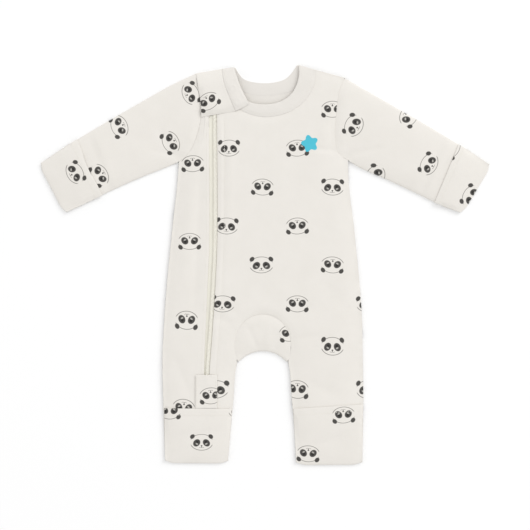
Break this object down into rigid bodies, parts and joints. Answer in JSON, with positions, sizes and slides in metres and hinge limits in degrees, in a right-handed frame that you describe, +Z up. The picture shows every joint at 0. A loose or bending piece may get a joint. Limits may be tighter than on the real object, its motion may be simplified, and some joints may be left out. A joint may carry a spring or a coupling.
{
  "type": "baby romper",
  "caption": "Long-sleeved baby romper with turn-over mitts and foot covers, a side zip under a shoulder flap and an animal-face print, laid flat on its back.",
  "frame": {"origin": "middle of the garment's outline, on the surface that it lies on", "axes": "+X towards the side of the sleeve that has no zip, across the sleeves; +Y from the feet to the neck; +Z up, out of the front"},
  "size_m": [0.582, 0.5198, 0.01],
  "materials": {
    "jersey": "soft cotton interlock, off-white, printed with small black and grey animal faces",
    "neckband": "folded cotton neck band, off-white with the same print",
    "zip_tape": "woven polyester tape, cream",
    "zip_coil": "nylon coil and lacquered slider, cream",
    "snap": "resin snap fastener, white"
  },
  "bodies": {
    "root": {"back": "jersey", "front_main": "jersey", "front_side": "jersey", "sleeve_left": "jersey", "sleeve_right": "jersey", "mitt_left": "jersey", "mitt_right": "jersey", "foot_cover_left": "jersey", "foot_cover_right": "jersey", "crotch_gusset": "jersey", "shoulder_flap": "jersey", "zip_garage": "jersey", "neckband_front": "neckband", "neckband_back": "neckband", "neckband_flap": "neckband", "zip_tape_side": "zip_tape", "zip_tape_main": "zip_tape", "zip_coil": "zip_coil", "zip_slider": "zip_coil", "snap_upper": "snap", "snap_lower": "snap"}
  },
  "joints": []
}
